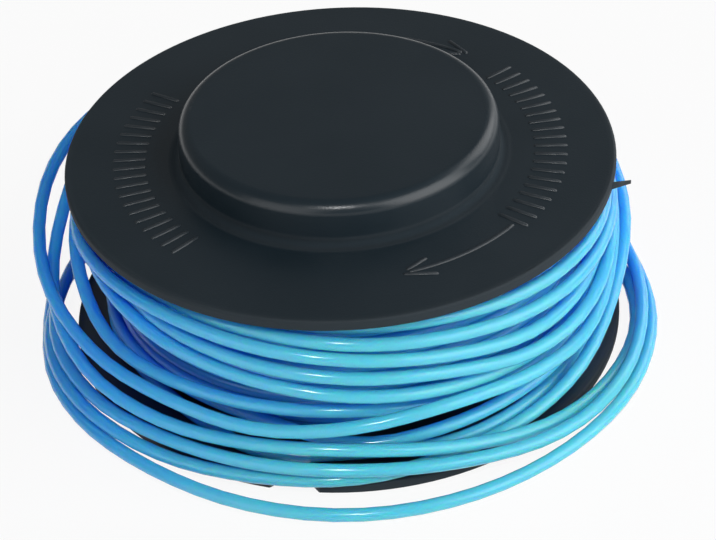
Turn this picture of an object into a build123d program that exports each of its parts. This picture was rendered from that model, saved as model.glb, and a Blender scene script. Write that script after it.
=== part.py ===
from build123d import *
import os
from math import cos, pi, radians, sin, tan

# A spool of grass trimmer line: a moulded spool with a closed boss, and the nylon line wound on its hub.
# Millimetres. The axis is Z, the spool stands on its lower flange at z = 0, and its front faces -Y.
# A compass angle is 0 at the front and grows towards +X.

# Flanges
top_flange_diameter = 62.0
lower_flange_diameter = 64.0
flange_thickness = 1.3
winding_width = 20.4
rim_radius = 0.35

# Hub and boss, one closed tube that runs through both flanges
hub_diameter = 36.2
hub_wall = 1.8
hub_corner_radius = 0.4
boss_height = 5.0
boss_draft = 2.5
boss_edge_radius = 1.5
boss_foot_radius = 0.6
crown_thickness = 2.0
crown_corner_radius = 1.0
mouth_chamfer = 0.5

# Drive socket at the top of the hub's bore: a step inwards, then ribs up against the crown
socket_depth = 8.0
socket_step = 0.5
rib_count = 8
rib_width = 2.4
rib_depth = 1.2
rib_length = 7.0
rib_lead_in = 0.8

# Round seat for the head's spring, under the crown
spring_seat_diameter = 16.0
spring_seat_wall = 1.2
spring_seat_height = 4.0

# Line recesses in the lower flange's rim: a flared mouth that leads into a narrow slot
recess_angle = -12.6
recess_count = 2
recess_mouth = 6.1
recess_throat = 2.6
recess_depth = 4.0

# Holes through the hub's wall that hold the inner end of the line
anchor_angle = 80.0
anchor_count = 2
anchor_clearance = 0.35
anchor_height = 6.0

# Sliver of plastic left at the gate, on the top flange's rim
gate_angle = 72.5
gate_root_width = 0.9
gate_reach = 1.85
gate_lean = 1.4
gate_thickness = 0.5
gate_sink = 0.4

# Line
line_diameter = 1.5
coil_inset = 2.6
coil_headroom = 0.4
coil_crown = 1.2
row_pitch = 1.67
ridge_height = 0.5
anchor_tail = 1.2

# Sprung turns, wound clockwise as seen from above. A station says how far the line's centre stands out
# from the lower rim, and how high the line's underside is. A row is one turn in equal steps, from the
# right by the front and the left to behind the spool.
first_station = 100.0
station_step = 20.0
lift_off = [(-2.5, 13.5), (-1.2, 14.0), (-0.8, 14.6), (-0.7, 15.2)]
upper_turn = [
    (-1.3, 15.45), (-1.1, 13.15), (-0.6, 7.55), (-0.8, 8.35), (-0.5, 9.75), (-0.4, 8.35),
    (-0.4, 7.15), (-0.5, 7.75), (0.9, 8.1), (3.0, 11.3), (3.1, 15.6), (2.3, 17.4),
    (1.7, 16.6), (1.4, 14.6), (1.2, 11.6), (1.0, 8.2), (0.5, 4.5), (0.4, 1.75),
]
wide_turn = [
    (1.0, 0.1), (2.1, 0.05), (1.5, 0.15), (0.6, 1.15), (-0.5, 3.25), (-0.7, 5.15),
    (-0.4, 5.25), (0.5, 4.85), (2.2, 6.1), (2.3, 9.6), (-0.3, 15.9), (-0.2, 17.65),
    (-0.2, 17.6), (-0.2, 17.6), (0.0, 17.3), (0.2, 16.7), (0.7, 15.9), (0.9, 14.7),
]
rim_turn = [
    (0.2, 14.15), (0.3, 12.15), (-0.7, 3.85), (-1.5, 1.65), (-1.25, 1.55), (0.1, 1.45),
    (0.5, 1.35), (1.6, 0.6), (3.5, 1.65), (3.6, 1.6), (2.0, 1.7), (1.5, 0.3),
    (1.4, 0.15), (1.4, 0.15), (1.5, 0.55), (1.7, 1.25), (1.9, 1.7), (2.1, 1.7),
]
low_turn = [
    (1.9, 1.7), (1.3, 1.75), (2.8, 1.55), (2.3, 1.85), (1.0, 2.15), (0.5, 2.95),
    (0.6, 3.2), (0.6, 3.55), (1.7, 2.7), (2.9, 3.0), (1.3, 3.1), (1.1, 2.0),
    (2.0, 1.75), (3.1, 0.95), (3.5, 0.05), (3.6, 0.05), (3.5, 0.05), (3.2, 0.05),
]
last_turn = [
    (2.8, 0.05), (3.8, 0.05), (4.5, 0.05), (4.1, 0.05), (4.1, 0.05), (4.2, 0.05),
    (3.8, 0.05), (3.4, 0.05), (3.9, 0.05), (4.0, 0.05), (3.4, 0.05),
]
bend_share = 0.45

# Worked out from the sizes above
top_radius = top_flange_diameter / 2
lower_radius = lower_flange_diameter / 2
hub_radius = hub_diameter / 2
bore_radius = hub_radius - hub_wall
socket_radius = bore_radius - socket_step
boss_top_radius = hub_radius - boss_height * tan(radians(boss_draft))
winding_floor = flange_thickness
winding_ceiling = winding_floor + winding_width
deck_height = winding_ceiling + flange_thickness
spool_height = deck_height + boss_height
crown_height = spool_height - crown_thickness
socket_height = crown_height - socket_depth
line_radius = line_diameter / 2
coil_radius = lower_radius - coil_inset


def facing(angle, shape):
    """Turn a shape that was drawn facing the front to a compass angle."""
    return Rot(0, 0, angle) * shape


def round_corners(face, corners, radius):
    """Round the profile's corners at these radii and heights."""
    chosen = [face.vertices().sort_by_distance((r, 0, z))[0] for r, z in corners]
    return fillet(chosen, radius)


def spool_body():
    """The turned form of the moulding: both flanges, the hub and the closed boss."""
    outline = Polyline(
        (bore_radius + mouth_chamfer, 0, 0),
        (lower_radius, 0, 0),
        (lower_radius, 0, winding_floor),
        (hub_radius, 0, winding_floor),
        (hub_radius, 0, winding_ceiling),
        (top_radius, 0, winding_ceiling),
        (top_radius, 0, deck_height),
        (hub_radius, 0, deck_height),
        (boss_top_radius, 0, spool_height),
        (0, 0, spool_height),
        (0, 0, crown_height),
        (socket_radius, 0, crown_height),
        (socket_radius, 0, socket_height + socket_step),
        (bore_radius, 0, socket_height),
        (bore_radius, 0, mouth_chamfer),
        close=True,
    )
    face = make_face(outline)
    face = round_corners(face, [(lower_radius, 0), (lower_radius, winding_floor)], rim_radius)
    face = round_corners(face, [(top_radius, winding_ceiling), (top_radius, deck_height)], rim_radius)
    groove_corners = [(hub_radius, winding_floor), (hub_radius, winding_ceiling)]
    face = round_corners(face, groove_corners, hub_corner_radius)
    face = round_corners(face, [(hub_radius, deck_height)], boss_foot_radius)
    face = round_corners(face, [(boss_top_radius, spool_height)], boss_edge_radius)
    face = round_corners(face, [(socket_radius, crown_height)], crown_corner_radius)
    return revolve(face, Axis.Z)


def drive_ribs():
    """Ribs that key the spool to the head, each grown out of the wall, with a lead-in at its free end."""
    inner = socket_radius - rib_depth
    foot = socket_radius + hub_wall / 2
    low = crown_height - rib_length
    high = crown_height + crown_thickness / 2
    side = make_face(Polyline(
        (0, -foot, low),
        (0, -foot, high),
        (0, -inner, high),
        (0, -inner, low + rib_lead_in),
        (0, -inner - rib_lead_in, low),
        close=True,
    ))
    rib = extrude(side, rib_width / 2, dir=(1, 0, 0), both=True)
    return [facing(360 / rib_count * i, rib) for i in range(rib_count)]


def spring_seat():
    """The ring under the crown that centres the head's spring."""
    outer = spring_seat_diameter / 2
    height = spring_seat_height + crown_thickness / 2
    ring = Cylinder(outer, height, align=(Align.CENTER, Align.CENTER, Align.MIN))
    ring -= Cylinder(outer - spring_seat_wall, height, align=(Align.CENTER, Align.CENTER, Align.MIN))
    return Pos(0, 0, crown_height - spring_seat_height) * ring


def line_recess():
    """One cut in the lower flange's rim: 45 degree cheeks, then a slot with a round end."""
    throat = recess_throat / 2
    mouth = recess_mouth / 2
    cheek = mouth - throat
    end = lower_radius - recess_depth + throat
    plan = make_face(Polyline(
        (-throat, -end),
        (-throat, -(lower_radius - cheek)),
        (-mouth - cheek, -(lower_radius + cheek)),
        (mouth + cheek, -(lower_radius + cheek)),
        (throat, -(lower_radius - cheek)),
        (throat, -end),
        close=True,
    ))
    plan += Pos(0, -end) * Circle(throat)
    return extrude(plan, flange_thickness)


def anchor_hole(radius, inner, outer):
    """A round bar across the hub's wall at the height of the line anchors, facing the front."""
    bar = Cylinder(radius, outer - inner, align=(Align.CENTER, Align.CENTER, Align.MIN))
    return Pos(0, -inner, anchor_height) * Rot(90, 0, 0) * bar


def gate_sliver():
    """The torn sliver at the gate: a thin spike that leans along the rim."""
    root = top_radius - gate_sink
    middle = winding_ceiling + flange_thickness / 2
    plan = make_face(Polyline(
        (-gate_root_width / 2, -root),
        (gate_lean, -top_radius - gate_reach),
        (gate_root_width / 2, -root),
        close=True,
    ))
    return Pos(0, 0, middle - gate_thickness / 2) * extrude(plan, gate_thickness)


def make_spool():
    """The whole moulding, one piece."""
    spool = spool_body()
    spool += drive_ribs()
    spool += spring_seat()
    spool += facing(gate_angle, gate_sliver())
    for i in range(recess_count):
        spool -= facing(recess_angle + 360 / recess_count * i, line_recess())
    hole_radius = line_radius + anchor_clearance
    hole = anchor_hole(hole_radius, bore_radius - hub_wall / 2, hub_radius + hub_wall / 2)
    for i in range(anchor_count):
        spool -= facing(anchor_angle + 360 / anchor_count * i, hole)
    return spool


def make_wound_line():
    """The coil on the hub: a ring whose outside shows the rows of turns, and the tail in its anchor."""
    floor = winding_floor
    ceiling = winding_ceiling - coil_headroom
    rows = round((ceiling - floor) / row_pitch)
    pitch = (ceiling - floor) / rows
    crests = [coil_radius - coil_crown * ((2 * i + 1) / rows - 1) ** 2 for i in range(rows)]
    valleys = [crests[0], *[(a + b) / 2 for a, b in zip(crests, crests[1:])], crests[-1]]
    edges = []
    for i, crest in enumerate(crests):
        below = (valleys[i] - ridge_height, 0, floor + pitch * i)
        middle = (crest, 0, floor + pitch * (i + 0.5))
        above = (valleys[i + 1] - ridge_height, 0, floor + pitch * (i + 1))
        edges.append(ThreePointArc(below, middle, above))
    corner = hub_corner_radius
    back = Polyline(
        edges[-1] @ 1,
        (hub_radius + corner, 0, ceiling),
        (hub_radius, 0, ceiling - corner),
        (hub_radius, 0, floor + corner),
        (hub_radius + corner, 0, floor),
        edges[0] @ 0,
    )
    coil = revolve(make_face([*edges, *back.edges()]), Axis.Z)
    tail = anchor_hole(line_radius, hub_radius - anchor_tail, hub_radius + line_diameter)
    return coil + facing(anchor_angle, tail)


def sprung_route():
    """Corner points of the sprung turns, from where the line lifts out of the coil to its free end."""
    # The path passes inside its corner points, so they stand this much further out
    reach = 1 / cos(radians(station_step / 2))
    angle = first_station + station_step * len(lift_off)
    points = []
    for out, height in lift_off + upper_turn + wide_turn + rim_turn + low_turn + last_turn:
        radius = reach * (lower_radius + out)
        turn = radians(angle)
        points.append(Vector(radius * sin(turn), -radius * cos(turn), height + line_radius))
        angle -= station_step
    return points


def make_sprung_turns(coil):
    """The sprung outer turns: one round tube of straight runs and tangent arcs."""
    points = sprung_route()
    runs = [b - a for a, b in zip(points, points[1:])]
    radii = []
    for before, after in zip(runs, runs[1:]):
        half_turn = radians(before.get_angle(after)) / 2
        radii.append(bend_share * min(before.length, after.length) / tan(half_turn))
    path = FilletPolyline(*points, radius=radii)
    section = Plane(origin=path @ 0, z_dir=path % 0) * Circle(line_radius)
    tube = sweep(section, path)
    expected = pi * line_radius ** 2 * path.length
    print("sprung turns: bend radii %.1f to %.1f, length %.0f" % (min(radii), max(radii), path.length))
    print("sprung turns: volume over section times length %.4f" % (tube.volume / expected))
    return tube - coil


spool = make_spool()
wound_line = make_wound_line()
nodes = {
    "spool": spool,
    "wound_line": wound_line,
    "sprung_turns": make_sprung_turns(wound_line),
}
os.makedirs("parts", exist_ok=True)
for name, solid in nodes.items():
    export_step(solid, "parts/%s.step" % name)
    print(name, "%.0f mm3" % solid.volume, solid.bounding_box())
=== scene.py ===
# %% [markdown]
# # A spool of trimmer line
# A refill for a grass trimmer: one black moulding, and about ten metres of round nylon line on its hub.
# The moulding has plain turned forms, so it was drawn as a solid in CAD and comes in ready-made. What is
# left for Blender is what makes it look real: the line turn by turn, the moulded marks, the two finishes
# and the light.

# %% Load the solids
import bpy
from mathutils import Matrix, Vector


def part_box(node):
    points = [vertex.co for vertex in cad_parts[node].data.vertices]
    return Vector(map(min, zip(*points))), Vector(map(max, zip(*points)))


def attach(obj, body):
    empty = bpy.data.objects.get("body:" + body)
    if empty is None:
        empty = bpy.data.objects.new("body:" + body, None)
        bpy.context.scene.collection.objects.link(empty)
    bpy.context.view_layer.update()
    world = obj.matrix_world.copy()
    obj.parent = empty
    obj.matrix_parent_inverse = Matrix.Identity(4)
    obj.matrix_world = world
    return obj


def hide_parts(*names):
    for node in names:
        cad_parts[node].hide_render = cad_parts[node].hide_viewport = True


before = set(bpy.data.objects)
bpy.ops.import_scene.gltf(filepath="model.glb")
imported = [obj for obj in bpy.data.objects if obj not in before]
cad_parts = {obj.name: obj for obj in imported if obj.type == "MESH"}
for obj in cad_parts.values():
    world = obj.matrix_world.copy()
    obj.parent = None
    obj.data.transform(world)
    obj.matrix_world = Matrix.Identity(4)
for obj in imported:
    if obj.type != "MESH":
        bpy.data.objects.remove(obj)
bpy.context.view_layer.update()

# %% [markdown]
# ## The camera
# Every choice after this one is judged through the lens, so the camera is set up before anything else. It
# could be aimed by eye, but an object this small, seen this close, shows every degree. So the place, the
# aim and the focal length are the ones at which both flanges fall on their outlines in the photograph.
# One shift and three plain turns make up its matrix, which keeps each of them readable: down, aside and
# the slight roll.

# %% Camera
import bpy
from math import cos, pi, radians, sin
from mathutils import Matrix, Vector

MM = 0.001
photo_width = 716
focal_pixels = 2198
sensor_width = 36
deck_height = 23 * MM
view_distance = 248 * MM
view_elevation = radians(34.51)
look_down = radians(37.69)
look_aside = radians(0.30)
roll = radians(3.17)


def add_object(name, data):
    """A new object that shows this data in the scene."""
    made = bpy.data.objects.new(name, data)
    bpy.context.scene.collection.objects.link(made)
    return made


camera = add_object("camera", bpy.data.cameras.new("camera"))
bpy.context.scene.camera = camera
camera.data.sensor_fit = "HORIZONTAL"
camera.data.sensor_width = sensor_width
camera.data.lens = focal_pixels / photo_width * sensor_width
camera.data.clip_start = view_distance / 100
camera.data.clip_end = view_distance * 100
stand = Vector((0, -cos(view_elevation), sin(view_elevation))) * view_distance
camera.matrix_world = (
    Matrix.Translation(stand + Vector((0, 0, deck_height)))
    @ Matrix.Rotation(pi / 2 - look_down, 4, "X")
    @ Matrix.Rotation(-look_aside, 4, "Y")
    @ Matrix.Rotation(-roll, 4, "Z")
)
print("camera: lens %.1f mm at" % camera.data.lens, [round(v, 4) for v in camera.location])

# %% [markdown]
# ## Where a turn of line goes
# The line is wound clockwise as seen from above. A turn is easiest to describe the way a winder sees it:
# at equal steps round the spool, how far the line stands out from the lower rim and how high its underside
# is. Angles are compass angles, 0 at the front and growing to the right. One helper turns such a station
# into a point. A smooth spline passes inside its control points, so the helper sets them a little further
# out. Stations are in degrees and millimetres, and points in metres, as everything in Blender is here.

# %% Stations
line_diameter = 1.5 * MM
rim_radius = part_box("spool")[1].x
first_station = 100.0
station_step = 20.0
stations_per_turn = round(360 / station_step)
spline_reach = 1 / cos(radians(station_step / 2))


def line_point(angle, out, height):
    """A control point: compass angle in degrees, millimetres out from the rim and up to the underside."""
    radius = spline_reach * (rim_radius + out * MM)
    turn = radians(angle)
    return Vector((radius * sin(turn), -radius * cos(turn), height * MM + line_diameter / 2))


print("a turn has", stations_per_turn, "stations and the rim's radius is %.1f mm" % (rim_radius / MM))

# %% [markdown]
# ## The wound layers
# Most of the line is in layers round the hub, nearly hidden, and regular enough for a loop. The height runs
# to and fro between the flanges while the angle keeps turning, and each pass lies one line's thickness
# further out. The first passes are wound openly and the last ones turn by turn, and those stop short of the
# lower flange. A helix made by a modifier would be perfect, and that looks wrong: hand-wound line wanders.
# The coil therefore leans to one side, and a slow wave runs up and down it. The loop stops one step before
# the place where the loose turns take over.

# %% Wound layers
from numpy import interp

# Millimetres and degrees, and for the change-over from layer to layer a share of a turn.
hub_radius = 18.1
anchor_angle = 80.0
anchor_height = 6.0
pass_ends = [5.25, 19.35, 1.5, 19.35, 2.85, 18.6, 5.65]
pass_pitches = [2.2, 2.2, 1.8, 1.55, 1.55, 1.55]
layer_step = 1.5
change_over = 0.25
lean = 0.08
lean_side = 20.0
wave_up = 0.12
waves_per_turn = 2
stations_left_out = round((first_station - anchor_angle) / station_step) + 1


def wound_layers():
    """Stations of the regular layers, from the hub to the last turn above the lower flange."""
    turns = [0.0]
    for a, b, pitch in zip(pass_ends, pass_ends[1:], pass_pitches):
        turns.append(turns[-1] + abs(b - a) / pitch)
    changes = range(1, len(turns) - 1)
    change_turns = [turns[i] + side * change_over for i in changes for side in (-1, 1)]
    layer_numbers = [i + side for i in changes for side in (-1, 0)]
    first_out = hub_radius + (line_diameter / 2 - rim_radius) / MM
    count = stations_per_turn * round(turns[-1]) - stations_left_out
    made = []
    for k in range(count):
        turn = turns[-1] * k / (count - 1)
        angle = anchor_angle - station_step * (k + 1)
        layer = interp(turn, change_turns, layer_numbers)
        out = first_out + layer * (layer_step + lean * cos(radians(angle - lean_side)))
        wave = wave_up * sin(radians(waves_per_turn * angle) + turn)
        made.append((angle, out, interp(turn, turns, pass_ends) + wave))
    return made


layers = wound_layers()
print("wound layers:", len(layers), "stations, last one at", [round(float(v), 1) for v in layers[-1]])

# %% [markdown]
# ## The loose turns
# Outside the layers the line has sprung open, and these turns are what the eye follows. No formula gives
# them, so they are listed, one row of stations for each turn, as the photograph shows them: from
# the right by the front and the left, and on behind the spool, where they ease over into the next row. The
# last rows have left the flanges and lie on the floor. The last five follow the stations of the CAD tube,
# and a few of those are moved a little.

# %% Loose turns
loose_turns = {
    "low inner": [
        (-3.4, 3.25), (-3.2, 2.85), (-3.0, 2.35), (-3.0, 1.95), (-2.9, 1.6), (-4.1, 1.75),
        (-2.7, 1.45), (-5.2, 1.5), (-5.6, 1.6), (-4.6, 1.9), (-4.0, 2.3), (-4.3, 2.6),
        (-4.6, 2.9), (-4.6, 3.1), (-4.4, 3.35), (-4.1, 3.6), (-3.8, 3.95), (-3.6, 4.5),
    ],
    "climbing": [
        (-3.4, 5.05), (-3.2, 4.85), (-3.0, 4.65), (-3.0, 4.45), (-3.0, 4.05), (-3.0, 3.3),
        (-5.2, 4.5), (-5.7, 4.6), (-5.5, 4.0), (-4.6, 3.7), (-4.1, 4.2), (-4.2, 4.9),
        (-4.2, 5.9), (-4.0, 7.4), (-4.4, 9.4), (-4.6, 11.6), (-4.7, 14.0), (-4.6, 16.6),
    ],
    "under the flange": [
        (-3.8, 18.85), (-2.0, 18.65), (-1.6, 18.75), (-1.9, 18.85), (-2.8, 19.35), (-3.4, 19.55),
        (-4.2, 19.65), (-4.5, 19.65), (-4.6, 19.65), (-4.6, 19.65), (-4.6, 19.65), (-4.5, 19.65),
        (-4.3, 19.65), (-4.0, 19.55), (-3.6, 19.45), (-3.2, 19.35), (-2.8, 19.15), (-2.6, 18.75),
    ],
    "second": [
        (-2.3, 18.15), (-1.3, 17.05), (-1.2, 16.05), (-1.5, 16.35), (-1.5, 17.75), (-1.6, 18.65),
        (-2.5, 19.25), (-3.0, 18.95), (-3.2, 18.45), (-3.3, 18.15), (-3.4, 18.05), (-3.5, 17.95),
        (-3.5, 17.75), (-3.5, 17.45), (-3.5, 17.15), (-3.5, 16.75), (-3.1, 16.0), (-3.0, 15.2),
    ],
    "third": [
        (-3.0, 14.65), (-2.6, 13.75), (-2.1, 12.85), (-1.5, 13.25), (-1.3, 15.45), (-1.2, 16.95),
        (-1.2, 18.15), (-1.4, 19.05), (-1.7, 18.15), (-1.5, 17.2), (-2.4, 16.4), (-2.6, 16.2),
        (-2.8, 15.95), (-2.5, 15.95), (-2.1, 16.05), (-1.7, 16.15), (-1.6, 16.25), (-1.9, 16.35),
    ],
    "fourth": [
        (-2.6, 16.25), (-1.2, 14.95), (-0.8, 10.95), (-1.3, 10.55), (-1.4, 13.25), (-1.3, 14.35),
        (-1.4, 15.55), (-1.9, 16.6), (-3.6, 16.6), (-4.1, 14.6), (-4.3, 13.3), (-3.9, 13.3),
        (-3.6, 13.6), (-3.7, 13.4), (-3.4, 13.0), (-2.8, 12.5), (-2.7, 11.95), (-2.9, 11.15),
    ],
    "fifth": [
        (-3.0, 10.25), (-2.8, 9.45), (-2.7, 8.85), (-2.4, 9.45), (-1.7, 10.55), (-1.4, 11.75),
        (-1.5, 13.25), (-1.4, 14.7), (-1.8, 16.3), (-2.9, 15.7), (-3.0, 14.4), (-2.4, 14.2),
        (-1.7, 13.05), (-1.7, 11.95), (-1.8, 11.05), (-2.1, 10.35), (-2.4, 9.85), (-2.7, 9.25),
    ],
    "sixth": [
        (-3.0, 8.65), (-3.0, 7.85), (-3.0, 7.25), (-2.7, 7.45), (-2.9, 7.75), (-2.8, 8.75),
        (-2.6, 8.75), (-2.0, 8.9), (-1.0, 9.05), (-1.1, 13.2), (-1.3, 14.3), (-0.8, 13.9),
        (-0.2, 13.6), (-1.1, 13.5), (-2.5, 13.5), (-1.2, 14.0), (-0.8, 14.6), (-0.7, 15.2),
    ],
    "upper sprung": [
        (-1.3, 15.45), (-1.1, 13.15), (-0.6, 7.55), (-0.8, 8.35), (-0.5, 9.75), (-0.4, 8.35),
        (-0.4, 7.15), (-0.5, 7.75), (0.9, 8.1), (3.0, 11.3), (3.1, 15.6), (2.3, 17.4),
        (1.7, 16.6), (1.4, 14.6), (1.2, 11.6), (1.0, 8.2), (0.5, 4.5), (0.4, 1.75),
    ],
    "wide sprung": [
        (1.0, 0.1), (2.2, 0.05), (1.5, 0.15), (0.6, 1.15), (-0.5, 3.25), (-0.7, 5.15),
        (-0.4, 5.25), (0.5, 4.85), (2.2, 6.1), (2.3, 9.6), (-0.3, 15.9), (-0.2, 17.65),
        (-0.2, 17.6), (-0.2, 17.6), (0.0, 17.3), (0.2, 16.7), (0.7, 15.9), (0.9, 14.7),
    ],
    "rim sprung": [
        (0.2, 14.15), (0.3, 12.15), (-0.7, 3.85), (-1.5, 1.65), (-1.25, 1.55), (0.1, 1.45),
        (0.5, 1.35), (1.6, 0.85), (3.3, 1.8), (3.5, 1.5), (2.0, 1.7), (1.5, 0.3),
        (1.4, 0.15), (1.4, 0.15), (1.5, 0.55), (1.7, 1.25), (1.9, 1.7), (2.1, 1.7),
    ],
    "low sprung": [
        (2.3, 1.65), (2.6, 1.5), (3.05, 1.1), (2.7, 1.35), (1.0, 2.3), (0.5, 3.2),
        (0.6, 3.35), (0.9, 3.1), (2.05, 2.6), (2.8, 3.05), (1.3, 3.1), (1.1, 2.0),
        (2.0, 1.75), (3.1, 0.95), (3.5, 0.05), (3.6, 0.05), (3.5, 0.05), (3.2, 0.05),
    ],
    "last": [
        (2.8, 0.05), (3.8, 0.05), (4.1, 0.05), (3.9, 0.05), (4.1, 0.05), (4.2, 0.05),
        (3.6, 0.05), (3.0, 0.05), (3.7, 0.05), (4.0, 0.05), (3.4, 0.05),
    ],
}
print("loose turns:", len(loose_turns), "with", sum(len(row) for row in loose_turns.values()), "stations")

# %% [markdown]
# ## One line from anchor to free end
# Everything above is one piece of nylon, so it becomes one open spline. A NURBS spline of order 3 bends
# evenly through its control points, which is how a springy line lies; a Bezier spline would need two
# handles at each point. The curve's own round bevel makes the tube. The bevel is one unit deep and each
# point scales it by the line's radius, because Blender counts that scale in the curve's box. The order and
# the end points are set after the points, because Blender limits them to the points it has.

# %% The line as a curve
tail_inside = 17.0
tail_bend = 18.95
spline_order = 3
steps_between_points = 4
bevel_steps = 4


def tail_stations():
    """The inner end: out through the anchor hole in the hub's wall, and round into the first turn."""
    rim = rim_radius / MM
    underside = anchor_height - line_diameter / MM / 2
    return [(anchor_angle, radius / spline_reach - rim, underside) for radius in (tail_inside, tail_bend)]


stations = tail_stations() + layers
angle = first_station
for row in loose_turns.values():
    for out, height in row:
        stations.append((angle, out, height))
        angle -= station_step
route = [line_point(*station) for station in stations]

curve = bpy.data.curves.new("cutting_line", "CURVE")
curve.dimensions = "3D"
curve.bevel_depth = 1.0
curve.bevel_resolution = bevel_steps
curve.use_fill_caps = True
spline = curve.splines.new("NURBS")
spline.points.add(len(route) - 1)
for point, place in zip(spline.points, route):
    point.co = (*place, 1)
    point.radius = line_diameter / 2
spline.order_u = spline_order
spline.use_endpoint_u = True
spline.resolution_u = steps_between_points
cutting_line = add_object("cutting_line", curve)
run = sum((b - a).length for a, b in zip(route, route[1:]))
print("line: %d control points, %.2f m along them" % (len(route), run))

# %% [markdown]
# ## The line on the spool
# The line rides on the spool, and the plain CAD solids that held its place are hidden. It leaves the spool
# at the anchor hole, and its far end is just cut off.

anchor_exit = Vector((sin(radians(anchor_angle)), -cos(radians(anchor_angle)), 0)) * hub_radius * MM
anchor_exit.z = anchor_height * MM
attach(cutting_line, "root")
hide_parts("wound_line", "sprung_turns")

# %% [markdown]
# ## Even rims
# The flanges have small rounds along their edges. A solid is cut into triangles before it comes here, and
# on these rounds the triangles lie in fans, which show as fine teeth where black plastic meets bright line.
# The rims could be modelled again, but then they might leave the solid's shape. Turning edges keeps it: two
# triangles that share an edge can be split along either diagonal, and the one that lies nearer to the round
# is taken. A round is described by its ring, the circle that its section's centre runs along.

# %% Which edges to turn
import bmesh
from math import hypot
from mathutils.geometry import area_tri

# Millimetres, apart from the area.
edge_rounding = 0.35
on_round_within = 0.004
least_gain = 0.001
least_area = 0.004 * MM * MM


def off_round(place, ring):
    """How far a place is from the rounded surface about this ring, in millimetres."""
    ring_radius, ring_height = ring
    across = hypot(place.x, place.y) / MM - ring_radius
    return abs(hypot(across, place.z / MM - ring_height) - edge_rounding)


def better_turned(mesh, edge, on_round, ring):
    """Whether the other diagonal of the two triangles at this edge is nearer to the round."""
    if len(edge.link_faces) != 2:
        return False
    a, b = edge.verts
    c, d = [vert for face in edge.link_faces for vert in face.verts if vert not in (a, b)]
    if c not in on_round or d not in on_round or mesh.edges.get((c, d)):
        return False
    if min(area_tri(a.co, c.co, d.co), area_tri(b.co, c.co, d.co)) < least_area:
        return False
    return off_round((c.co + d.co) / 2, ring) < off_round((a.co + b.co) / 2, ring) - least_gain


print("an edge on a %.2f mm round is turned if it gains %.3f mm" % (edge_rounding, least_gain))

# %% Turn the edges on a round
most_sweeps = 40


def even_round(mesh, ring):
    """Sweep over one round until no edge is better turned, and count the turns."""
    on_round = {vert for vert in mesh.verts if off_round(vert.co, ring) < on_round_within}
    turned = 0
    for sweep in range(most_sweeps):
        before = turned
        for edge in [e for e in mesh.edges if e.verts[0] in on_round and e.verts[1] in on_round]:
            if edge.is_valid and better_turned(mesh, edge, on_round, ring):
                bmesh.utils.edge_rotate(edge, True)
                turned += 1
        if turned == before:
            break
    return turned


print("a round is evened in at most %d sweeps" % most_sweeps)

# %% [markdown]
# ## The moulding
# The solid itself is never changed, so the visible moulding is a copy of it with every vertex in its place.
# Vertices that the export doubled along creases are merged first, because an edge can be turned only where
# two triangles really share it. The copy is shaded smooth, and stays sharp where two faces meet at a clear
# angle, as in the corners of the drive socket.

# %% The moulding
# Millimetres: each flange has a radius and the height of its underside.
flange_thickness = 1.3
flanges = {"lower": (32.0, 0.0), "top": (31.0, 21.7)}
same_place = MM / 1000
crease_angle = radians(30)


def smooth_object(name, mesh):
    """An object with all faces shaded smooth, made from a bmesh that is then freed."""
    for face in mesh.faces:
        face.smooth = True
    data = bpy.data.meshes.new(name)
    mesh.to_mesh(data)
    mesh.free()
    return add_object(name, data)


mesh = bmesh.new()
mesh.from_mesh(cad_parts["spool"].data)
bmesh.ops.remove_doubles(mesh, verts=mesh.verts, dist=same_place)
for name, (radius, underside) in flanges.items():
    for height in (underside + edge_rounding, underside + flange_thickness - edge_rounding):
        turned = even_round(mesh, (radius - edge_rounding, height))
        print(name, "flange, round at %.2f mm:" % height, turned, "edges turned")
spool_moulding = smooth_object("spool_moulding", mesh)
spool_moulding.data.set_sharp_from_angle(angle=crease_angle)
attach(spool_moulding, "root")
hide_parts("spool")
print("moulding: %d vertices after merging" % len(spool_moulding.data.vertices))

# %% [markdown]
# ## The moulded marks
# The flange carries two raised arrows that show which way to wind, and two bands of raised ribs. They could
# be a bump in the material, but then they would vanish from the side. Each stroke is a low rounded ridge,
# as an engraved mould leaves it, so one helper sweeps half an ellipse along a list of points. The round top
# matters: on black plastic only a slope that faces a lamp can be seen. Its foot is sunk a little into the
# flange, and past each end it runs down to a low, narrow tip.

# %% A raised stroke
mark_height = 0.22 * MM
mark_width = 0.5 * MM
mark_sink = 0.05 * MM
# Shares of the height and of the width.
whole_section = (1.0, 1.0)
tip_section = (0.1, 0.46)
section_steps = 6


def flange_point(angle, radius):
    """A point of the top flange's upper face: compass angle in degrees, radius in millimetres."""
    turn = radians(angle)
    return Vector((radius * MM * sin(turn), -radius * MM * cos(turn), deck_height))


def stroke_stops(places):
    """The places of a stroke and its two tips, each with its share of the ridge's height and width."""
    start = places[0] + (places[0] - places[1]).normalized() * mark_width / 2
    end = places[-1] + (places[-1] - places[-2]).normalized() * mark_width / 2
    return [(start, tip_section)] + [(place, whole_section) for place in places] + [(end, tip_section)]


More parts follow.
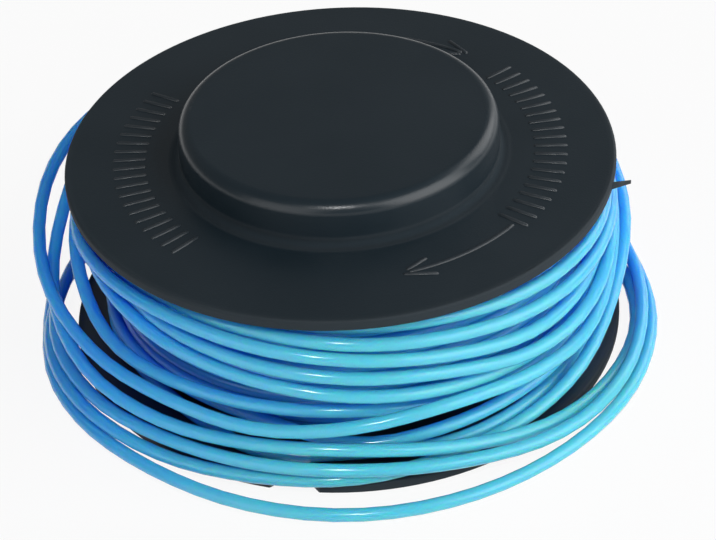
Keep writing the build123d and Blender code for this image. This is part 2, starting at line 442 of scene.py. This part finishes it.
def add_stroke(mesh, places):
    """Sweep the ridge's section along points that lie on the flange, and close it at both tips."""
    stops = stroke_stops(places)
    rings = []
    for i, (place, (height_share, width_share)) in enumerate(stops):
        along = stops[min(i + 1, len(stops) - 1)][0] - stops[max(i - 1, 0)][0]
        side = Vector((0, 0, 1)).cross(along.normalized())
        ring = []
        for j in range(section_steps + 1):
            turn = pi * j / section_steps
            across = side * cos(turn) * mark_width / 2 * width_share
            up = Vector((0, 0, sin(turn) * mark_height * height_share - mark_sink))
            ring.append(mesh.verts.new(place + across + up))
        rings.append(ring)
    for a, b in zip(rings, rings[1:]):
        for j in range(section_steps):
            mesh.faces.new([a[j], a[j + 1], b[j + 1], b[j]])
        mesh.faces.new([a[section_steps], a[0], b[0], b[section_steps]])
    mesh.faces.new(rings[0])
    mesh.faces.new(rings[-1])


print("a stroke is %.1f mm wide and %.2f mm high" % (mark_width / MM, (mark_height - mark_sink) / MM))

# %% [markdown]
# ## Marks in one piece
# Marks of one kind belong together, so all their strokes go into one mesh, which rides on the spool and
# takes its plastic. A separate object for each stroke would work too, but it would fill the outliner with
# small pieces that nobody moves by themselves.

# %% Marks in one piece


def marks_object(name, strokes):
    """One piece of the spool's plastic that holds all these strokes."""
    mesh = bmesh.new()
    for places in strokes:
        add_stroke(mesh, places)
    bmesh.ops.recalc_face_normals(mesh, faces=mesh.faces)
    made = smooth_object(name, mesh)
    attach(made, "root")
    print(name, "has", len(strokes), "strokes")
    return made


print("strokes are joined by", marks_object.__name__)

# %% [markdown]
# ## Winding arrows
# An arrow is a long arc and two short barbs that point the way the line runs. The arc could be a bevelled
# curve, but as a stroke it has the same section as every other mark. The arc stops a little behind the tip,
# and the barbs start on either side, so that the three strokes don't pile up on one spot.

# %% Winding arrows
# Degrees along the arc, and millimetres across it: a barb starts and ends that far outside the shaft.
arrow_radius = 24.2
arrow_sweep = 32.0
arrow_tips = [14.5, 140.0]
arc_steps = 16
shaft_behind_tip = 1.5
barb_sweep = 7.0
inner_barb = {"behind_tip": 1.2, "start": -0.5, "end": -1.4}
outer_barb = {"behind_tip": 0.0, "start": 0.2, "end": 1.4}


def arrow_strokes(tip):
    """The shaft and two barbs of one clockwise arrow whose tip is at this compass angle."""
    sweeps = [arrow_sweep * i / arc_steps for i in range(arc_steps + 1)]
    strokes = [[flange_point(tip + shaft_behind_tip + sweep, arrow_radius) for sweep in sweeps]]
    for barb in (inner_barb, outer_barb):
        start = flange_point(tip + barb["behind_tip"], arrow_radius + barb["start"])
        end = flange_point(tip + barb_sweep, arrow_radius + barb["end"])
        strokes.append([start, end])
    return strokes


winding_arrows = marks_object("winding_arrows", [s for tip in arrow_tips for s in arrow_strokes(tip)])

# %% [markdown]
# ## Raised ribs
# The ribs are plain radial strokes in two bands, which give a thumb some hold when the spool is turned by
# hand. One band runs back along the right of the flange and the other along the left. An array modifier
# could repeat a rib, but a list of angles is shorter and keeps both bands in one piece.

# %% Raised ribs
rib_inner = 22.0
rib_outer = 25.4
rib_pitch = 4.0
ribs_in_band = 20
right_band_start = 50
left_band_start = -46

rib_angles = [right_band_start + rib_pitch * i for i in range(ribs_in_band)]
rib_angles += [left_band_start - rib_pitch * i for i in range(ribs_in_band)]
rib_strokes = [[flange_point(a, rib_inner), flange_point(a, rib_outer)] for a in rib_angles]
raised_ribs = marks_object("raised_ribs", rib_strokes)

# %% [markdown]
# ## Wiring a finish
# A finish is a small network of nodes that feeds one shader. In the node editor it is drawn by hand, and in
# Python every node takes a line to make it and a line for each of its inputs. A few helpers keep that
# readable: a node is made and wired in one call, where a plain value is set and another node's output is
# linked. Inputs go by their order or by their name, with underscores for the spaces.

# %% Node helpers


def wire(tree, node, *values, **named):
    """Set or link a node's inputs, by order and by name."""
    inputs = list(enumerate(values))
    inputs += [(key.replace("_", " "), value) for key, value in named.items()]
    for key, value in inputs:
        if isinstance(value, bpy.types.NodeSocket):
            tree.links.new(value, node.inputs[key])
        else:
            node.inputs[key].default_value = value


def add_node(tree, kind, *values, operation=None, **named):
    """A new node of a tree, with its inputs wired."""
    node = tree.nodes.new(kind)
    if operation:
        node.operation = operation
    wire(tree, node, *values, **named)
    return node


def new_finish(name):
    """A new material, its node tree and its shader."""
    material = bpy.data.materials.new(name)
    material.use_nodes = True
    tree = material.node_tree
    return material, tree, tree.nodes["Principled BSDF"]


print("node helpers:", [helper.__name__ for helper in (wire, add_node, new_finish)])

# %% [markdown]
# ## Parts of a finish
# Both finishes are made of the same few parts: a noise, a value carried over from one range to another, a
# ramp of colours, a fine bump and the distance from the spool's axis. A node group could hold each of them,
# but a function does the same and leaves plain nodes behind.

# %% Finish helpers


def noise(tree, place, scale, detail):
    """Soft noise round a half, with this many cells to a metre."""
    return add_node(tree, "ShaderNodeTexNoise", Vector=place, Scale=scale, Detail=detail).outputs["Fac"]


def rescaled(tree, value, old, new):
    """A value carried over from its old range to a new one, and held at the ends."""
    return add_node(tree, "ShaderNodeMapRange", value, *old, *new).outputs["Result"]


def colour_ramp(tree, factor, stops):
    """A colour that runs through these stops, each a position and a colour."""
    ramp = add_node(tree, "ShaderNodeValToRGB", factor)
    elements = ramp.color_ramp.elements
    for position, colour in stops[1:-1]:
        elements.new(position)
    for element, (position, colour) in zip(elements, stops):
        element.position = position
        element.color = (*colour, 1)
    return ramp.outputs["Color"]


def bumped(tree, height, strength, depth):
    """A normal that follows this height, which is depth metres from low to high."""
    bump = add_node(tree, "ShaderNodeBump", Strength=strength, Distance=depth, Height=height)
    return bump.outputs["Normal"]


def radius_of(tree, place):
    """The distance of a place from the spool's axis."""
    flat = add_node(tree, "ShaderNodeMapping", place, Scale=(1, 1, 0)).outputs["Vector"]
    return add_node(tree, "ShaderNodeVectorMath", flat, operation="LENGTH").outputs["Value"]


print("finish helpers:", [part.__name__ for part in (noise, rescaled, colour_ramp, bumped, radius_of)])

# %% [markdown]
# ## Worn and sheltered places
# Hands polish the boss's edge and never reach the corner round its foot, and the rims are scuffed. Such
# wear could be painted on an image, but here every worn place is a ring about the axis. So the material
# works out a place's distance from each ring, in a section through the axis, and changes the roughness
# there.

# %% Worn rings
# Millimetres, apart from the roughness.
worn_rings = {
    "corner at the boss's foot": {"radius": 18.5, "height": 23.3, "reach": 1.0, "roughness": 1.0},
    "edge of the boss": {"radius": 17.2, "height": 27.5, "reach": 1.4, "roughness": 0.29},
    "top rim": {"radius": 31.0, "height": 22.35, "reach": 1.0, "roughness": 0.8},
    "lower rim": {"radius": 32.0, "height": 0.65, "reach": 1.2, "roughness": 0.8},
}


def worn(tree, place, rough):
    """The given roughness, changed near each worn ring."""
    height = add_node(tree, "ShaderNodeSeparateXYZ", place).outputs["Z"]
    section = add_node(tree, "ShaderNodeCombineXYZ", radius_of(tree, place), height).outputs["Vector"]
    for ring in worn_rings.values():
        middle = (ring["radius"] * MM, ring["height"] * MM, 0)
        apart = add_node(tree, "ShaderNodeVectorMath", section, middle, operation="DISTANCE")
        reach = (ring["reach"] / 2 * MM, ring["reach"] * MM)
        rough = rescaled(tree, apart.outputs["Value"], reach, (ring["roughness"], rough))
    return rough


print("worn rings:", list(worn_rings))

# %% [markdown]
# ## The moulded plastic
# The spool is a black nylon moulding with the fine matt grain of an etched mould. One flat black would look
# like a hole in the picture. The colour is almost even, so the look is in the surface: a grain of about a
# fifth of a millimetre in the bump, and a roughness that drifts a little where the moulding has been
# handled. The raised marks are painted a little greyer than the rest, a painted sheen for the light that
# their rounded slopes catch, so the finish takes its two colours as arguments.

# %% Plastic finish
drift_scale = 90.0
drift_detail = 4.0
grain_scale = 5200.0
fine_detail = 2.0
grain_strength = 0.22
grain_depth = 0.06 * MM
dark_until = 0.3
light_from = 0.7
plastic_roughness = (0.33, 0.41)
plastic_gloss = 0.45


def moulded_plastic(name, dark, light):
    """Black nylon with an etched grain, in a colour that drifts from dark to light."""
    material, tree, shader = new_finish(name)
    place = add_node(tree, "ShaderNodeTexCoord").outputs["Object"]
    drift = noise(tree, place, drift_scale, drift_detail)
    grain = noise(tree, place, grain_scale, fine_detail)
    wire(
        tree,
        shader,
        Base_Color=colour_ramp(tree, drift, [(dark_until, dark), (light_from, light)]),
        Roughness=worn(tree, place, rescaled(tree, drift, (0, 1), plastic_roughness)),
        Normal=bumped(tree, grain, grain_strength, grain_depth),
        Specular_IOR_Level=plastic_gloss,
    )
    return material


black_plastic = moulded_plastic("black_plastic", (0.0065, 0.0140, 0.0200), (0.0090, 0.0170, 0.0235))
# The marks' lighter colours are a painted sheen for the light their slopes catch.
marks_painted_sheen_plastic = moulded_plastic("marks_painted_sheen_plastic", (0.017, 0.024, 0.030), (0.024, 0.031, 0.037))
spool_moulding.data.materials.append(black_plastic)
for marks in (winding_arrows, raised_ribs):
    marks.data.materials.append(marks_painted_sheen_plastic)
print("plastic on the spool and its marks")

# %% [markdown]
# ## Even shading
# A moulding's broad faces are flat, and its rounds are narrow strips of small triangles. Plain smooth
# shading weighs the triangles at a vertex by their corners alone, and flat faces then look dented along
# their edges. A weighted normal also counts how large each face is, and no vertex is moved for it.

# %% Even shading
shading = spool_moulding.modifiers.new("even shading", "WEIGHTED_NORMAL")
shading.mode = "FACE_AREA_WITH_ANGLE"
shading.keep_sharp = True
print("modifier on the moulding:", shading.name)

# %% [markdown]
# ## The dye, with painted light and shade
# The dye is blue, and its colour carries painted light and shade: deep blue on the inner turns, a painted
# shade for the light that hardly reaches them, and pale cyan outside, a painted light that is stronger on
# one side than on the other. Each turn could have a colour of its own, but the line is one piece, so the
# shade follows two things: the distance from the axis, and how far a place lies towards the lit side. A
# little noise keeps it uneven.

# %% Dye with painted light and shade
# Radii over which the painted shade deep in the coil turns into painted light outside.
inner_turns = 23 * MM
outer_turns = 31 * MM
# The side that the painted light falls on, and the reach over which it grows to full.
lit_angle = radians(20)
lit_side = Vector((sin(lit_angle), -cos(lit_angle), 0))
lit_reach = (8 * MM, 30 * MM)
shaded_side_share = 0.45
uneven_share = 0.08
# Linear colours along the shade: deep blue painted shade, a mid blue, pale cyan painted light.
dye_and_light_stops = [(0.04, (0.014, 0.12, 0.95)), (0.55, (0.052, 0.39, 0.88)), (1.0, (0.10, 0.52, 0.64))]


def painted_light_and_shade(tree, place, drift):
    """0 where the inner turns are painted deep blue shade, 1 where outer turns on the lit side are painted
    pale light.
    """
    depth = rescaled(tree, radius_of(tree, place), (inner_turns, outer_turns), (0, 1))
    towards = add_node(tree, "ShaderNodeVectorMath", place, lit_side, operation="DOT_PRODUCT")
    side = rescaled(tree, towards.outputs["Value"], lit_reach, (shaded_side_share, 1))
    lit_share = add_node(tree, "ShaderNodeMath", depth, side, operation="MULTIPLY").outputs[0]
    return add_node(tree, "ShaderNodeMath", drift, uneven_share, lit_share, operation="MULTIPLY_ADD").outputs[0]


# The span printed here is that of the painted light and shade.
print("the dye fades over %.0f mm, through %d colours" % ((outer_turns - inner_turns) / MM, len(dye_and_light_stops)))

# %% [markdown]
# ## The nylon
# Trimmer line is extruded nylon, smooth and slightly see-through, so light that goes in comes out further
# on and bluer. Glass shading would make it look like a tube of water. Subsurface scattering is the better
# match: it lets blue travel furthest, and the gaps between the turns fill with blue light by themselves.

# %% Nylon finish
drawn_scale = 2600.0
drawn_strength = 0.05
drawn_depth = 0.04 * MM
nylon_roughness = (0.13, 0.18)
nylon_gloss = 0.4
nylon_ior = 1.53
light_travel = 1.7 * MM
travel_by_colour = (0.10, 0.45, 1.8)


def extruded_nylon():
    """Light blue nylon line, with painted light and shade in its colour and a drawn surface."""
    material, tree, shader = new_finish("extruded_nylon")
    place = add_node(tree, "ShaderNodeTexCoord").outputs["Object"]
    drift = noise(tree, place, drift_scale, fine_detail)
    drawn = noise(tree, place, drawn_scale, fine_detail)
    # The base colour carries the painted light and shade of the dye.
    wire(
        tree,
        shader,
        Base_Color=colour_ramp(tree, painted_light_and_shade(tree, place, drift), dye_and_light_stops),
        Roughness=rescaled(tree, drift, (0, 1), nylon_roughness),
        Normal=bumped(tree, drawn, drawn_strength, drawn_depth),
        Subsurface_Weight=1.0,
        Subsurface_Radius=travel_by_colour,
        Subsurface_Scale=light_travel,
        IOR=nylon_ior,
        Specular_IOR_Level=nylon_gloss,
    )
    return material


curve.materials.append(extruded_nylon())
print("nylon on the line, in which blue travels %.1f mm" % (light_travel * max(travel_by_colour) / MM))

# %% [markdown]
# ## The floor
# The spool stands on a pale floor that runs out of the picture. A painted floor alone comes out grey under
# soft light, and more light would bleach the object. So the camera, mirrors and glass see it mostly as an
# even white with a share of the real paint in it, which keeps the shadow. All other rays meet only the
# paint.

# %% Floor
floor_size = 3.0
floor_white = 0.8
seen_share = 0.9


def seen_directly(tree):
    """1 for rays from the camera and for mirrored or refracted ones, 0 for light that bounces about."""
    rays = add_node(tree, "ShaderNodeLightPath").outputs
    seen = rays["Is Camera Ray"]
    for kind in ("Is Glossy Ray", "Is Transmission Ray"):
        seen = add_node(tree, "ShaderNodeMath", seen, rays[kind], operation="MAXIMUM").outputs[0]
    return seen


def pale_floor():
    """Paint that keeps a soft shadow, under a white glow that only direct looks meet."""
    material, tree, shader = new_finish("pale_floor")
    tree.nodes.remove(shader)
    paint = add_node(tree, "ShaderNodeBsdfDiffuse", Color=(floor_white, floor_white, floor_white, 1))
    glow = add_node(tree, "ShaderNodeEmission")
    share = add_node(tree, "ShaderNodeMath", seen_directly(tree), seen_share, operation="MULTIPLY")
    mix = add_node(tree, "ShaderNodeMixShader", share.outputs[0], paint.outputs[0], glow.outputs[0])
    wire(tree, tree.nodes["Material Output"], mix.outputs[0])
    return material


half = floor_size / 2
corners = [(-half, -half, 0), (half, -half, 0), (half, half, 0), (-half, half, 0)]
floor_mesh = bpy.data.meshes.new("floor")
floor_mesh.from_pydata(corners, [], [(0, 1, 2, 3)])
floor_mesh.materials.append(pale_floor())
floor = add_object("floor", floor_mesh)
print("floor %.0f m wide" % floor_size)

# %% [markdown]
# ## The room
# Behind the floor is a white wall. The camera sees white everywhere, and mirrors and glass see the wall
# white and the ceiling dim: a white ceiling would lie as a grey film on the flat black flange, which
# mirrors it at every angle. The light that the room itself gives is faint, so the white doesn't flood the
# object. All this is in the world's background, because a modelled wall would have to be lit as well.

# %% Room
sky_strength = 0.08
ceiling_white = 0.2
wall_to_ceiling = (0.0, 0.1)

world = bpy.data.worlds.new("studio")
bpy.context.scene.world = world
world.use_nodes = True
tree = world.node_tree
direction = add_node(tree, "ShaderNodeTexCoord").outputs["Generated"]
upward = add_node(tree, "ShaderNodeSeparateXYZ", direction).outputs["Z"]
room = rescaled(tree, upward, wall_to_ceiling, (1, ceiling_white))
from_camera = add_node(tree, "ShaderNodeLightPath").outputs["Is Camera Ray"]
backdrop = add_node(tree, "ShaderNodeMath", room, from_camera, operation="MAXIMUM").outputs[0]
level = rescaled(tree, seen_directly(tree), (0, 1), (sky_strength, backdrop))
wire(tree, tree.nodes["Background"], Color=(1, 1, 1, 1), Strength=level)
print("room light at %.2f, ceiling seen at %.1f" % (sky_strength, ceiling_white))

# %% [markdown]
# ## The light
# Small parts are usually photographed between soft boxes. Here a small one above the camera gives each turn
# its short glint at the front. The main one hangs to the right, which brightens the line on that side and
# draws the highlight round the boss's edge, and one behind it carries that highlight on. A low one on the
# left keeps the shadow side readable. Places and sizes are in metres, and power is in watts.

# %% Soft boxes
soft_boxes = {
    "front_box": {"place": (-0.03, -0.46, 0.60), "size": 0.04, "power": 1.6},
    "right_box": {"place": (0.57, -0.33, 0.35), "size": 0.75, "power": 5.6},
    "back_box": {"place": (0.54, 0.38, 0.36), "size": 0.5, "power": 1.8},
    "left_fill": {"place": (-0.45, -0.53, 0.28), "size": 0.6, "power": 1.4},
}


def add_soft_box(name, place, size, power):
    """A square area lamp that faces the middle of the spool."""
    lamp = bpy.data.lights.new(name, "AREA")
    lamp.shape = "SQUARE"
    lamp.size = size
    lamp.energy = power
    made = add_object(name, lamp)
    made.location = place
    made.rotation_mode = "QUATERNION"
    made.rotation_quaternion = (Vector((0, 0, deck_height / 2)) - Vector(place)).to_track_quat("-Z", "Y")


for name, box in soft_boxes.items():
    add_soft_box(name, **box)
bpy.context.scene.view_settings.view_transform = "Standard"
print("soft boxes:", list(soft_boxes))
